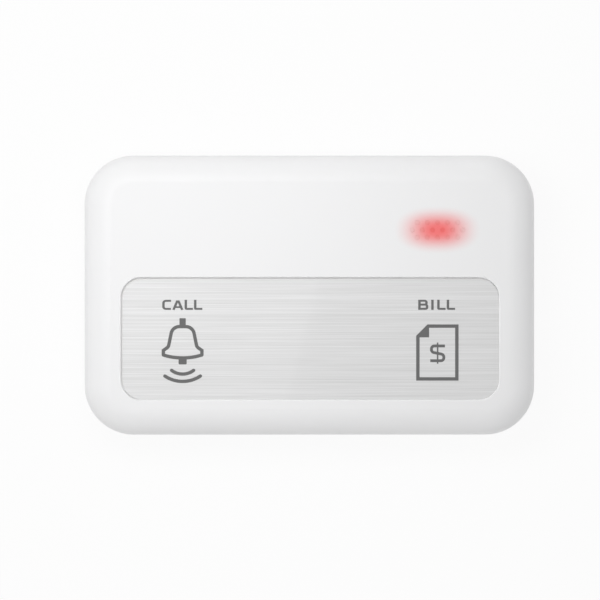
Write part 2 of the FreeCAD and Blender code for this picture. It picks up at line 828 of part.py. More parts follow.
def screws(label, across, up, head_bottom, head, head_height, shank, length):
    """Four slotted pan-head screws that point upwards."""
    body = new_body(label)
    heads = new_sketch(body, "heads", head_bottom)
    corner_circles(heads, head, across, up)
    grow(body, heads, head_height)
    shanks = new_sketch(body, "shanks", f"{head_bottom} + {head_height}")
    corner_circles(shanks, shank, across, up)
    grow(body, shanks, length)
    tip = f"{head_bottom} + {head_height} + {length}"
    round_edges(body, at_height(tip), f"({shank}) / 4", "PartDesign::Chamfer")
    slot = new_sketch(body, "slot", head_bottom)
    rectangle(slot, f"{head} + size.cut_past", "size.screw_slot_width", across, up)
    cut = carve(body, slot, "size.screw_slot_depth")
    repeat(body, [cut], f"2 * {across}", f"2 * {up}")
    return body


# Electronics --------------------------------------------------------------------------------------


def circuit_board():
    """Board screwed to the underside of the cover."""
    body = new_body("circuit_board")
    plate = new_sketch(body, "plate", BOARD_UNDER)
    rounded_rectangle(plate, BOARD_WIDTH, f"2 * {BOARD_BACK}", "size.board_radius")
    hole = "size.board_screw_diameter + 2 * size.screw_clearance"
    corner_circles(plate, hole, BOARD_SCREW_X, BOARD_SCREW_Y)
    grow(body, plate, "size.board_thickness")
    return body


def place_on_board(item, x, y):
    """Put a body that is modelled round its own axis on the top of the board."""
    item.setExpression("Placement.Base.x", x)
    item.setExpression("Placement.Base.y", y)
    item.setExpression("Placement.Base.z", BOARD_TOP)
    doc.recompute()
    return item


def switch_housing(side):
    """Square base of a tactile switch, with a round cavity open at the top."""
    body = new_body(f"{side}_switch_housing")
    block = new_sketch(body, "block")
    rectangle(block, "size.switch_side", "size.switch_side")
    grow(body, block, "size.switch_body")
    cavity = new_sketch(body, "cavity", "size.switch_body")
    circle(cavity, "size.switch_cavity")
    carve(body, cavity, "size.switch_body - size.switch_cavity_floor", down=True)
    return place_on_board(body, KEY_SIDES[side], RECESS_Y)


def switch_cover(side):
    """Metal plate that closes the switch round its stem."""
    body = new_body(f"{side}_switch_cover")
    plate = new_sketch(body, "plate", "size.switch_body")
    rectangle(plate, "size.switch_side", "size.switch_side")
    circle(plate, "size.stem_diameter + 2 * size.stem_gap")
    grow(body, plate, "size.switch_plate")
    return place_on_board(body, KEY_SIDES[side], RECESS_Y)


def switch_stem(side):
    """Round plunger, held under the metal plate by its flange and resting on the dome."""
    body = new_body(f"{side}_switch_stem")
    profile = new_sketch(body, "profile", role="XZ_Plane")
    foot = "size.switch_cavity_floor + size.dome_flat + size.switch_travel"
    shoulder = "size.switch_body - size.stem_play"
    flange = "size.switch_cavity / 2 - size.stem_gap"
    polygon(
        profile,
        [
            ("0", foot),
            (flange, foot),
            (flange, shoulder),
            ("size.stem_diameter / 2", shoulder),
            ("size.stem_diameter / 2", "size.switch_height"),
            ("0", "size.switch_height"),
        ],
    )
    spin(body, profile)
    return place_on_board(body, KEY_SIDES[side], RECESS_Y)


def switch_dome(side):
    """Snap dome: a thin flat-topped cone of spring metal."""
    body = new_body(f"{side}_switch_dome")
    profile = new_sketch(body, "profile", role="XZ_Plane")
    low = "size.switch_cavity_floor"
    high = f"{low} + size.dome_flat + size.switch_travel"
    rim = "size.switch_cavity / 2 - size.stem_gap"
    crown = "size.stem_diameter / 4"
    polygon(
        profile,
        [
            (rim, low),
            (rim, f"{low} + size.dome_metal"),
            (crown, high),
            ("0", high),
            ("0", f"{high} - size.dome_metal"),
            (crown, f"{high} - size.dome_metal"),
            (f"{rim} - 2 * size.dome_metal", low),
        ],
    )
    spin(body, profile)
    return place_on_board(body, KEY_SIDES[side], RECESS_Y)


def gull_wing(label, half_body, rise, reach, width, spacing, count):
    """Bent legs down both sides of a body: out, down to the board, and out again."""
    body = new_body(label)
    profile = new_sketch(body, "profile", f"-(({count}) - 1) * ({spacing}) / 2", role="XZ_Plane")
    knee = f"{half_body} + ({reach}) / 2"
    tip = f"{half_body} + {reach}"
    bend = [
        (half_body, f"{rise} - size.leg_metal"),
        (f"{knee} - size.leg_metal", f"{rise} - size.leg_metal"),
        (f"{knee} - size.leg_metal", "0"),
        (tip, "0"),
        (tip, "size.leg_metal"),
        (knee, "size.leg_metal"),
        (knee, rise),
        (half_body, rise),
    ]
    polygon(profile, bend)
    polygon(profile, [(f"-({x})", z) for x, z in bend])
    pair = grow(body, profile, width)
    pair.SideType = "Symmetric"
    repeat(body, [pair], y_span=f"(({count}) - 1) * ({spacing})", y_count=int(number(count)))
    return body


def negative_contact():
    """Leaf spring under the board that presses on the cap of the cell."""
    body = new_body("battery_contact_negative")
    profile = new_sketch(body, "profile", f"-{CELL_Y}", role="XZ_Plane")
    foot = "size.contact_foot"
    metal = "size.contact_metal"
    polygon(
        profile,
        [
            (f"-2 * {foot}", BOARD_UNDER),
            (f"-2 * {foot}", f"{BOARD_UNDER} - {metal}"),
            (f"-{foot}", f"{BOARD_UNDER} - {metal}"),
            ("0", CELL_TOP),
            (f"{foot} / 2", CELL_TOP),
            (f"{foot} / 2", f"{CELL_TOP} + {metal}"),
            (f"{metal} / 2", f"{CELL_TOP} + {metal}"),
            (f"{metal} / 2 - {foot}", BOARD_UNDER),
        ],
    )
    strip = grow(body, profile, "size.contact_width")
    strip.SideType = "Symmetric"
    doc.recompute()
    return body


def positive_contact():
    """Upright strip under the board that touches the side of the cell."""
    body = new_body("battery_contact_positive")
    profile = new_sketch(body, "profile", f"-{CELL_Y}", role="XZ_Plane")
    face = "size.cell_diameter / 2"
    metal = "size.contact_metal"
    low = f"{BAY_FLOOR_TOP} + size.contact_notch_gap"
    polygon(
        profile,
        [
            (face, low),
            (f"{face} + {metal}", low),
            (f"{face} + {metal}", f"{BOARD_UNDER} - {metal}"),
            (f"{face} + size.contact_foot", f"{BOARD_UNDER} - {metal}"),
            (f"{face} + size.contact_foot", BOARD_UNDER),
            (face, BOARD_UNDER),
        ],
    )
    strip = grow(body, profile, "size.contact_width")
    strip.SideType = "Symmetric"
    doc.recompute()
    return body


def cell_piece(label, points):
    """Turned piece of the coin cell from a profile of radius and height above its base."""
    body = new_body(label)
    profile = new_sketch(body, "profile", role="XZ_Plane")
    polygon(profile, points)
    spin(body, profile)
    body.setExpression("Placement.Base.y", CELL_Y)
    body.setExpression("Placement.Base.z", CELL_BOTTOM)
    doc.recompute()
    return body


def coin_cell():
    """Steel can, sealing ring and cap, which faces the board."""
    can = "size.cell_diameter / 2"
    metal = "size.cell_metal"
    cap = f"{can} - {metal} - size.cell_seal"
    high = "size.cell_height"
    step = f"{high} - size.cell_step"
    outside = [
        ("0", "0"),
        (can, "0"),
        (can, step),
        (f"{can} - {metal}", step),
        (f"{can} - {metal}", metal),
        ("0", metal),
    ]
    ring = [
        (cap, metal),
        (f"{can} - {metal}", metal),
        (f"{can} - {metal}", step),
        (cap, step),
    ]
    inside = [("0", metal), (cap, metal), (cap, high), ("0", high)]
    return [
        cell_piece("coin_cell_can", outside),
        cell_piece("coin_cell_gasket", ring),
        cell_piece("coin_cell_cap", inside),
    ]


def status_led():
    """White LED package with a bowl, and the clear resin that fills the bowl."""
    body = new_body("status_led")
    block = new_sketch(body, "block")
    rectangle(block, "size.led_width", "size.led_height")
    grow(body, block, "size.led_thickness")
    bowl = new_sketch(body, "bowl", "size.led_thickness")
    circle(bowl, "size.led_bowl")
    carve(body, bowl, "size.led_bowl_depth", down=True)
    lens = new_body("status_led_lens")
    resin = new_sketch(lens, "resin", "size.led_thickness - size.led_bowl_depth")
    circle(resin, "size.led_bowl")
    grow(lens, resin, "size.led_bowl_depth")
    return [place_on_board(item, LIGHT_X, LIGHT_Y) for item in (body, lens)]


def encoder_chip():
    block = box(
        "encoder_chip",
        "size.chip_height",
        "size.chip_width",
        "size.chip_thickness",
        "size.chip_across",
        f"{BOARD_BACK} - size.chip_inset",
        f"{BOARD_TOP} + size.chip_standoff",
    )
    block.Label = "encoder_chip"
    return block


def saw_resonator():
    """Ceramic case with a metal lid."""
    place = ("size.resonator_across", f"{BOARD_BACK} - size.chip_inset")
    case = box(
        "resonator_case",
        "size.resonator_width",
        "size.resonator_height",
        "size.resonator_thickness",
        *place,
        BOARD_TOP,
    )
    lid = box(
        "resonator_lid",
        "size.resonator_width - size.resonator_lid * 2",
        "size.resonator_height - size.resonator_lid * 2",
        "size.resonator_lid",
        *place,
        f"{BOARD_TOP} + size.resonator_thickness",
    )
    return group("saw_resonator", [case, lid])


def rf_transistor():
    """Three-legged package: two legs in front and one behind."""
    x, y = "size.transistor_across", f"{BOARD_BACK} - size.transistor_inset"
    members = [
        box(
            "transistor_case",
            "size.transistor_width",
            "size.transistor_height",
            "size.transistor_thickness",
            x,
            y,
            f"{BOARD_TOP} + size.chip_standoff",
        )
    ]
    reach = "size.transistor_height / 2 + size.chip_lead_reach / 4"
    for index, (side, end) in enumerate((("-", "-"), ("+", "-"), ("", "+"))):
        shift = f"{x} {side} size.transistor_width / 3" if side else x
        members.append(
            box(
                f"transistor_leg_{index}",
                "size.chip_lead_width",
                "size.chip_lead_reach / 2",
                "size.leg_metal",
                shift,
                f"{y} {end} ({reach})",
                f"{BOARD_TOP} + size.chip_standoff",
            )
        )
    return group("rf_transistor", members)


def passives(label, thickness, inset):
    """Row of equal chip parts, set in from the back edge of the board."""
    members = []
    for index in range(int(number("size.passive_count"))):
        x = f"size.passive_across + {index} * size.passive_pitch"
        name = f"{label}_{index}"
        y = f"{BOARD_BACK} - {inset}"
        block = box(name, "size.passive_length", "size.passive_width", thickness, x, y, BOARD_TOP)
        members.append(block)
    return group(label, members)


def antenna_wire():
    """Stiff wire bent into a flat arch that stands on the board."""
    body = new_body("antenna_wire")
    back = f"({BOARD_BACK} - size.antenna_inset)"
    path = new_sketch(body, "path", f"-{back}", role="XZ_Plane")
    boss_side = f"({BOARD_SCREW_X} - size.board_boss / 2)"
    left_end = f"size.antenna_left - {boss_side}"
    right_end = f"{boss_side} - size.antenna_right"
    crest = f"{BOARD_TOP} + size.antenna_rise"
    left, right, low, high = number(left_end), number(right_end), number(BOARD_TOP), number(crest)
    bend = number("size.antenna_bend")
    runs = [
        ((left, low), (left, high - bend)),
        ((left + bend, high), (right - bend, high)),
        ((right, high - bend), (right, low)),
    ]
    for start, end in runs:
        path.addGeometry(Part.LineSegment(FreeCAD.Vector(*start, 0), FreeCAD.Vector(*end, 0)))
    for turn, x in ((1, left + bend), (0, right - bend)):
        ring = Part.Circle(FreeCAD.Vector(x, high - bend, 0), UP, bend)
        path.addGeometry(Part.ArcOfCircle(ring, turn * QUARTER, (turn + 1) * QUARTER))
    for line, line_end, arc, arc_end in ((0, 2, 3, 2), (1, 1, 3, 1), (1, 2, 4, 2), (2, 1, 4, 1)):
        path.addConstraint(Sketcher.Constraint("Tangent", line, line_end, arc, arc_end))
    path.addConstraint(Sketcher.Constraint("Vertical", 0))
    path.addConstraint(Sketcher.Constraint("Horizontal", 1))
    path.addConstraint(Sketcher.Constraint("Vertical", 2))
    path.addConstraint(Sketcher.Constraint("Equal", 3, 4))
    dimension(path, "Radius", (3,), "size.antenna_bend")
    pin_point(path, 0, 1, left_end, BOARD_TOP)
    pin_point(path, 2, 2, right_end, BOARD_TOP)
    dimension(path, "DistanceY", (-1, 1, 1, 1), crest)
    section = new_sketch(body, "section", BOARD_TOP)
    circle(section, "size.antenna_metal", left_end, back)
    doc.recompute()
    pipe = body.newObject("PartDesign::AdditivePipe", "wire")
    pipe.Profile = section
    pipe.Spine = (path, [])
    doc.recompute()
    return body


def build():
    """Make every sub-part and return them."""
    made = [
        top_cover(),
        bottom_cover(),
        battery_door(),
        graphic_overlay(),
        overlay_adhesive(),
        key("call"),
        key("bill"),
        light_guide(),
        rubber_feet(),
        screws(
            "case_screws",
            POST_X,
            POST_Y,
            HEAD_BOTTOM,
            "size.case_screw_head",
            "size.case_screw_head_height",
            "size.case_screw_diameter",
            "size.case_screw_length",
        ),
        screws(
            "board_screws",
            BOARD_SCREW_X,
            BOARD_SCREW_Y,
            f"{BOARD_UNDER} - size.board_screw_head_height",
            "size.board_screw_head",
            "size.board_screw_head_height",
            "size.board_screw_diameter",
            "size.board_screw_length",
        ),
        circuit_board(),
    ]
    for side in KEY_SIDES:
        made.append(switch_housing(side))
        made.append(switch_cover(side))
        made.append(switch_stem(side))
        made.append(switch_dome(side))
        legs = gull_wing(
            f"{side}_switch_terminals",
            "size.switch_side / 2",
            "size.leg_rise",
            "size.leg_reach",
            "size.leg_width",
            "size.leg_spacing",
            "2",
        )
        made.append(place_on_board(legs, KEY_SIDES[side], RECESS_Y))
    leads = gull_wing(
        "encoder_chip_leads",
        "size.chip_height / 2",
        "size.chip_lead_rise",
        "size.chip_lead_reach",
        "size.chip_lead_width",
        "size.chip_lead_pitch",
        "size.chip_lead_count",
    )
    made.append(place_on_board(leads, "size.chip_across", f"{BOARD_BACK} - size.chip_inset"))
    made += [encoder_chip(), saw_resonator(), rf_transistor(), antenna_wire()]
    made.append(passives("chip_capacitors", "size.capacitor_thickness", "size.capacitor_inset"))
    made.append(passives("chip_resistors", "size.resistor_thickness", "size.resistor_inset"))
    made += [negative_contact(), positive_contact()]
    made += coin_cell()
    made += status_led()
    return made


def check(made):
    """Stop if an object failed or a sub-part has no sound solid."""
    for item in doc.Objects:
        if "Invalid" in item.State or "Error" in item.State:
            raise ValueError(f"{item.Label} failed: {item.State}")
    for item in made:
        if item.Shape.isNull() or not item.Shape.isValid() or not item.Shape.Solids:
            raise ValueError(f"{item.Label} has no valid solid")


def export(made):
    os.makedirs("parts", exist_ok=True)
    for item in made:
        item.Shape.exportStep(f"parts/{item.Label}.step")
        print(f"{item.Label}: {len(item.Shape.Solids)} solids, {item.Shape.Volume:.2f} mm3")


fill_sheet()
sub_parts = build()
doc.recompute()
check(sub_parts)
export(sub_parts)
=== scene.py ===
"""Looks of the waiter call button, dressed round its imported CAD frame.

Metres, in the row frame: +X is right and +Y is up as the keys are read, and +Z comes out of the
front face. Printed shapes are drawn in millimetres, and scaled once their mesh is made.
"""

import json
import math

import bpy
from mathutils import Matrix, Vector
from mathutils.geometry import delaunay_2d_cdt


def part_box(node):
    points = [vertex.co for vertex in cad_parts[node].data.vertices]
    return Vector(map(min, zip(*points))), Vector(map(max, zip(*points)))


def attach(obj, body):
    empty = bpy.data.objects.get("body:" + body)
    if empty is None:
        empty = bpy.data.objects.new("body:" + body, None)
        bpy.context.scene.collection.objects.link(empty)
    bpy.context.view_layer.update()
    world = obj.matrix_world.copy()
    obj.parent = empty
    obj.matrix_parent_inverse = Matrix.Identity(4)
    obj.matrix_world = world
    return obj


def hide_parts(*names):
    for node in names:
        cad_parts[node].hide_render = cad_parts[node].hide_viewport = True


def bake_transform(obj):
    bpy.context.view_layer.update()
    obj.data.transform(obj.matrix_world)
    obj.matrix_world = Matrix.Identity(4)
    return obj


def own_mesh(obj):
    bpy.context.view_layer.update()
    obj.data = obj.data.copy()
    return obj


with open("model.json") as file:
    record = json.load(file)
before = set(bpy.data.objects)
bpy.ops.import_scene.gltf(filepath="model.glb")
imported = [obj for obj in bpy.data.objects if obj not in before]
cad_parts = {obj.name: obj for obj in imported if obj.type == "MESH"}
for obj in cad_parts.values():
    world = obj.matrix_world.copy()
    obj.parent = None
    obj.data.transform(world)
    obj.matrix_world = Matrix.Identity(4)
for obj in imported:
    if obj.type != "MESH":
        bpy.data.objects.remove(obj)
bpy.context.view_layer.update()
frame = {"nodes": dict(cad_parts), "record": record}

MM = 0.001

# Where the noise begins, in grains, so that none of its flat lattice planes crosses the object
NOISE_START = (0.37, 0.61, 0.43)

# Photograph, in its own 600 x 600 pixels
PHOTO_SIDE = 600
OUTLINE_WIDTH_PX = 449.4
OUTLINE_CENTRE_PX = (309.5, 295.15)

# The two keys, after which the pieces on them are named
SIDES = ("call", "bill")

# Film: how far the flange of a key and the zone that bends reach, and how its outline differs
# from the CAD film
KEY_FLANGE = 1.0 * MM
FLEX_WIDTH = 2.0 * MM
FLEX_STEPS = 10
FILM_GROWS = -0.035 * MM
FILM_SHIFT = (0.13 * MM, -0.14 * MM)
FILM_RADIUS = 3.76 * MM

# Printed legends in millimetres, where the letters are drawn narrow and stretched along X
INK_THICKNESS = 0.02
LEGEND_BASE = -2.8
LEGEND_HEIGHT = 1.95
LEGEND_STROKE = 0.39
LEGEND_SHIFT = {"call_word": -0.03, "call_sign": 0.03, "bill_word": -0.15, "bill_sign": -0.01}
LETTER_STRETCH = 1.22
LETTER_CORNER = 0.4
BOWL_CORNER = 0.28
HEEL_CORNER = 0.12
ICON_STROKE = 0.66
DOLLAR_STROKE = 0.55
DOLLAR_BAR = 0.29
PLUS_MARK = 4.2
PLUS_STROKE = 0.5

# Drawing of flat shapes: steps of a full arc and of a rounded corner, the rule of
# delaunay_2d_cdt that keeps what is inside a contour, and how near it merges points
ARC_STEPS = 24
CORNER_STEPS = 8
KEEP_INSIDE = 1
MERGE_WITHIN = 1e-7
SHARP_FROM = math.radians(30)

# Snap domes of the switches
DOME_METAL = 0.08 * MM
DOME_CLEARANCE = 0.004 * MM
DOME_RINGS = 10
DOME_STEPS = 48

# Painted red glow round the status light, a red tint and emission on the cover that stand in for
# the LED's
# light through the plastic: half its width and depth, the share of that where it is full,
# and how square its outline is, where 2 is an ellipse
GLOW_REACH = (8.7 * MM, 4.77 * MM)
GLOW_FULL = 0.1
GLOW_SQUARENESS = 2.4


# Node graphs --------------------------------------------------------------------------------------


class Surface:
    """A Principled material, with short ways to add nodes to it."""

    def __init__(self, name, color, roughness, **sockets):
        self.material = bpy.data.materials.new(name)
        self.material.use_nodes = True
        self.tree = self.material.node_tree
        self.shader = self.tree.nodes["Principled BSDF"]
        self.shader.inputs["Base Color"].default_value = (*color, 1.0)
        self.shader.inputs["Roughness"].default_value = roughness
        for socket, value in sockets.items():
            self.shader.inputs[socket.replace("_", " ")].default_value = value
        self.place = self.add("TexCoord").outputs["Object"]

    def feed(self, socket, value):
        if isinstance(value, bpy.types.NodeSocket):
            self.tree.links.new(value, socket)
        elif value is not None:
            socket.default_value = value

    def add(self, kind, *inputs, **settings):
        """Add a node and feed its inputs in order: a socket is linked, and None is left alone."""
        made = self.tree.nodes.new("ShaderNode" + kind)
        for name, value in settings.items():
            setattr(made, name, value)
        for socket, value in zip(made.inputs, inputs):
            self.feed(socket, value)
        return made

    def noise(self, grain, detail=2.0, roughness=0.5):
        """Noise from 0 to 1 whose grain is a size, or one size along each axis, in metres."""
        sizes = grain if isinstance(grain, tuple) else (grain, grain, grain)
        scale = tuple(1 / size for size in sizes)
        stretched = self.add("VectorMath", self.place, scale, NOISE_START, operation="MULTIPLY_ADD")
        made = self.add("TexNoise")
        self.feed(made.inputs["Vector"], stretched.outputs[0])
        made.inputs["Scale"].default_value = 1.0
        made.inputs["Detail"].default_value = detail
        made.inputs["Roughness"].default_value = roughness
        return made.outputs["Fac"]

    def span(self, value, low, high, start=0.0, end=1.0, kind="LINEAR"):
        """Map a value from start..end to low..high, and clamp it."""
        made = self.add("MapRange", interpolation_type=kind)
        self.feed(made.inputs["Value"], value)
        limits = zip(("From Min", "From Max", "To Min", "To Max"), (start, end, low, high))
        for name, limit in limits:
            made.inputs[name].default_value = limit
        return made.outputs["Result"]

    def math(self, operation, a, b=0.0):
        return self.add("Math", a, b, operation=operation).outputs[0]

    def mix(self, factor, first, second):
        made = self.add("Mix", data_type="RGBA")
        self.feed(made.inputs[0], factor)
        for socket, color in ((made.inputs[6], first), (made.inputs[7], second)):
            self.feed(socket, (*color, 1.0) if isinstance(color, tuple) else color)
        return made.outputs[2]

    def tint(self, value):
        self.feed(self.shader.inputs["Base Color"], value)

    def rough(self, value, low, high):
        self.feed(self.shader.inputs["Roughness"], self.span(value, low, high))

    def bump(self, height, strength, depth):
        made = self.add("Bump")
        made.inputs["Strength"].default_value = strength
        made.inputs["Distance"].default_value = depth
        self.feed(made.inputs["Height"], height)
        self.feed(self.shader.inputs["Normal"], made.outputs["Normal"])


def grey(level):
    return (level, level, level)


def dimmed(color, share):
    return tuple(share * c for c in color)


# Materials ----------------------------------------------------------------------------------------

CASE_WHITE = (0.885, 0.885, 0.89)
CASE_SPECULAR = 0.45
COVER_ROUGHNESS = 0.42
BASE_ROUGHNESS = 0.46
# painted glow: the red tint of the cover and its faint emission round the status light stand in for
# the LED's light through the plastic
PAINTED_GLOW_RED = (0.66, 0.17, 0.17)
PAINTED_GLOW_LIGHT = (0.23, 0.012, 0.012)
PEG_WHITE = grey(0.87)
# painted glow of the pegs: their red tint and faint emission stand in for the LED's light shining
# through them
PEG_GLOW_RED = (0.615, 0.13, 0.125)
PEG_GLOW_LIGHT = (0.215, 0.012, 0.012)
FILM_DARK = grey(0.505)
FILM_BRIGHT = (0.64, 0.64, 0.643)
LONG_STROKES = (130 * MM, 0.16 * MM, 1.0)
SHORT_STROKES = (14 * MM, 0.12 * MM, 1.0)


def painted_glow_mask(surface):
    """Mask of the painted glow: 1 over the middle of the status light, and 0 beyond the end of its
    glow.
    """
    low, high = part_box("light_guide")
    middle = (low + high) / 2
    place = surface.add("SeparateXYZ", surface.place).outputs
    powers = []
    for along, centre, reach in zip(place, middle, GLOW_REACH):
        away = surface.math("ABSOLUTE", surface.math("SUBTRACT", along, centre))
        powers.append(surface.math("POWER", surface.math("DIVIDE", away, reach), GLOW_SQUARENESS))
    away = surface.math("POWER", surface.math("ADD", *powers), 1 / GLOW_SQUARENESS)
    return surface.span(away, 1.0, 0.0, GLOW_FULL, 1.0, "SMOOTHSTEP")


def lit(surface, plain, red, light):
    """Painted glow: turn a plain colour red round the status light, with a faint emission of its
    own, standing in for the LED's light through the plastic.
    """
    mask = painted_glow_mask(surface)
    surface.tint(surface.mix(mask, plain, red))
    surface.feed(surface.shader.inputs["Emission Color"], (*light, 1.0))
    surface.feed(surface.shader.inputs["Emission Strength"], mask)


def moulded_skin(surface, roughness, grain, strength):
    """Fine unevenness of a moulded face, with a slight change of gloss across it."""
    surface.rough(surface.noise(9 * MM, 3.0), roughness - 0.03, roughness + 0.03)
    surface.bump(surface.noise(grain), strength, 0.02 * MM)


def cover_white():
    """White cover, with a painted red glow and faint emission round the status light that stand in
    for the LED lighting it from inside.
    """
    surface = Surface("cover_white", CASE_WHITE, COVER_ROUGHNESS, Specular_IOR_Level=CASE_SPECULAR)
    moulded_skin(surface, COVER_ROUGHNESS, 1.6 * MM, 0.12)
    white = surface.mix(surface.noise(14 * MM), dimmed(CASE_WHITE, 0.992), CASE_WHITE)
    lit(surface, white, PAINTED_GLOW_RED, PAINTED_GLOW_LIGHT)
    return surface.material


def base_white():
    """White base and door, with the fine spark-eroded grain of an underside."""
    surface = Surface("base_white", CASE_WHITE, BASE_ROUGHNESS, Specular_IOR_Level=CASE_SPECULAR)
    moulded_skin(surface, BASE_ROUGHNESS, 0.22 * MM, 0.35)
    surface.tint(surface.mix(surface.noise(12 * MM), dimmed(CASE_WHITE, 0.985), CASE_WHITE))
    return surface.material


def light_pegs():
    """Pegs of the light guide with a painted glow, redder than the plastic round them, the red tint
    and emission standing in for the LED's light.
    """
    surface = Surface("light_pegs", PEG_WHITE, 0.35)
    lit(surface, PEG_WHITE, PEG_GLOW_RED, PEG_GLOW_LIGHT)
    surface.bump(surface.noise(0.3 * MM), 0.1, 0.01 * MM)
    return surface.material


def brushed_film():
    """Silver film with long fine strokes along X under a clear glossy face."""
    coat = {"Coat_Weight": 1.0, "Coat_Roughness": 0.012}
    surface = Surface("brushed_film", FILM_DARK, 0.38, Metallic=0.6, Anisotropic=0.5, **coat)
    layers = [surface.noise(grain, 1.0) for grain in (LONG_STROKES, SHORT_STROKES)]
    strokes = surface.math("ADD", *layers)
    # the sum of the two seldom leaves the range from 0.6 to 1.4
    spread = surface.span(strokes, 0.0, 1.0, 0.6, 1.4)
    surface.tint(surface.mix(spread, FILM_DARK, FILM_BRIGHT))
    surface.rough(spread, 0.38, 0.35)
    surface.feed(surface.shader.inputs["Tangent"], surface.add("CombineXYZ", 1.0).outputs[0])
    surface.bump(strokes, 0.1, 0.01 * MM)
    return surface.material


def legend_ink():
    surface = Surface("legend_ink", grey(0.12), 0.5)
    surface.tint(surface.mix(surface.noise(0.25 * MM, 3.0), grey(0.11), grey(0.13)))
    surface.bump(surface.noise(0.08 * MM), 0.1, 0.005 * MM)
    return surface.material


def etched_steel():
    """Matt grey of a mark etched into the can of the cell."""
    surface = Surface("etched_steel", grey(0.2), 0.6, Metallic=0.7)
    surface.tint(surface.mix(surface.noise(0.15 * MM, 3.0), grey(0.16), grey(0.24)))
    surface.bump(surface.noise(0.1 * MM), 0.3, 0.01 * MM)
    return surface.material


def clear_tape():
    surface = Surface("clear_tape", (0.85, 0.85, 0.82), 0.5)
    surface.rough(surface.noise(2 * MM, 3.0), 0.4, 0.6)
    surface.bump(surface.noise(0.4 * MM), 0.2, 0.01 * MM)
    return surface.material


def satin_key():
    surface = Surface("satin_key", grey(0.8), 0.5)
    moulded_skin(surface, 0.5, 0.3 * MM, 0.2)
    surface.tint(surface.mix(surface.noise(6 * MM), grey(0.78), grey(0.82)))
    return surface.material


def black_rubber():
    surface = Surface("black_rubber", grey(0.02), 0.8, Specular_IOR_Level=0.3)
    surface.tint(surface.mix(surface.noise(0.6 * MM, 4.0), grey(0.016), grey(0.03)))
    surface.rough(surface.noise(1.5 * MM, 3.0), 0.7, 0.9)
    surface.bump(surface.noise(0.18 * MM, 3.0), 0.5, 0.03 * MM)
    return surface.material


def metal(name, color, roughness, grain):
    """Metal with strokes or blotches of the given grain."""
    surface = Surface(name, color, roughness, Metallic=1.0)
    marks = surface.noise(grain, 4.0, 0.6)
    surface.tint(surface.mix(marks, dimmed(color, 0.88), color))
    surface.rough(marks, roughness - 0.08, roughness + 0.1)
    surface.bump(marks, 0.15, 0.01 * MM)
    return surface.material


def green_board():
    """Solder mask with the faint relief of copper tracks."""
    surface = Surface("green_board", (0.01, 0.09, 0.03), 0.35)
    tracks = surface.add("TexBrick")
    surface.feed(tracks.inputs["Vector"], surface.place)
    tracks.inputs["Scale"].default_value = 1.0
    tracks.inputs["Brick Width"].default_value = 7 * MM
    tracks.inputs["Row Height"].default_value = 1.9 * MM
    tracks.inputs["Mortar Size"].default_value = 0.22 * MM
    surface.tint(surface.mix(tracks.outputs["Fac"], (0.008, 0.085, 0.025), (0.02, 0.16, 0.05)))
    surface.bump(tracks.outputs["Fac"], 0.4, 0.03 * MM)
    surface.rough(surface.noise(3 * MM, 3.0), 0.28, 0.42)
    return surface.material


def moulding(name, low, high, roughness):
    """Plain moulded part whose colour wanders a little between two tones."""
    surface = Surface(name, low, roughness)
    surface.tint(surface.mix(surface.noise(1.2 * MM, 3.0), low, high))
    moulded_skin(surface, roughness, 0.25 * MM, 0.3)
    return surface.material


def clear_resin():
    surface = Surface("clear_resin", (1.0, 0.72, 0.7), 0.08, Transmission_Weight=0.9, IOR=1.5)
    surface.bump(surface.noise(0.5 * MM), 0.1, 0.01 * MM)
    return surface.material


def dress_frame():
    """Give every CAD node the material of its slot, and return the materials by slot."""
    made = {
        "case": base_white(),
        "film": brushed_film(),
        "adhesive": clear_tape(),
        "key": satin_key(),
        "diffuser": light_pegs(),
        "rubber": black_rubber(),
        "screw": metal("zinc_screw", grey(0.62), 0.34, 0.3 * MM),
        "board": green_board(),
        "black_moulding": moulding("black_moulding", grey(0.014), grey(0.022), 0.55),
        "plated_metal": metal("tin_plate", (0.76, 0.76, 0.78), 0.24, 0.4 * MM),
        "spring_metal": metal("spring_strip", (0.7, 0.68, 0.63), 0.3, (3 * MM, 0.2 * MM, 0.2 * MM)),
        "steel_can": metal("steel_can", (0.66, 0.66, 0.67), 0.3, (8 * MM, 0.12 * MM, 0.12 * MM)),
        "seal": moulding("cell_seal", grey(0.03), grey(0.045), 0.6),
        "ceramic": moulding("ceramic", (0.36, 0.25, 0.14), (0.46, 0.33, 0.2), 0.5),
        "led_case": moulding("led_case", grey(0.82), grey(0.88), 0.4),
        "resin": clear_resin(),
    }
    for row in frame["record"]["subparts"]:
        slots = frame["nodes"][row["node"]].material_slots
        slots[0].material = made[row["material_slot"]]
    frame["nodes"]["top_cover"].material_slots[0].material = cover_white()
    return made


# Flat shapes and pieces ---------------------------------------------------------------------------


def arc(centre, radius, start, end, steps=ARC_STEPS):
    """Points on an arc, from one angle to another in degrees."""
    turns = [math.radians(start + (end - start) * i / steps) for i in range(steps + 1)]
    return [(centre[0] + radius * math.cos(t), centre[1] + radius * math.sin(t)) for t in turns]


def sagging_arc(half_width, end_y, low_y):
    """Arc that hangs between two points at one height down to a lowest point."""
    sag = end_y - low_y
    radius = (half_width**2 + sag**2) / (2 * sag)
    reach = math.degrees(math.asin(half_width / radius))
    return arc((0, low_y + radius), radius, -90 - reach, -90 + reach)


def rounded(points, radii, closed=False):
    """Path through points whose corners are rounded, each by its own radius."""
    count = len(points)
    path = []
    for i, (point, radius) in enumerate(zip(points, radii)):
        corner = Vector(point)
        if not radius or not closed and i in (0, count - 1):
            path.append(corner.to_tuple())
            continue
        back = (Vector(points[i - 1]) - corner).normalized()
        ahead = (Vector(points[(i + 1) % count]) - corner).normalized()
        half = back.angle(ahead) / 2
        centre = corner + (back + ahead).normalized() * radius / math.sin(half)
        touch = corner + back * radius / math.tan(half) - centre
        leave = corner + ahead * radius / math.tan(half) - centre
        turn = math.degrees(leave.angle_signed(touch))
        start = math.degrees(math.atan2(touch.y, touch.x))
        path += arc(centre, radius, start, start + turn, CORNER_STEPS)
    return path


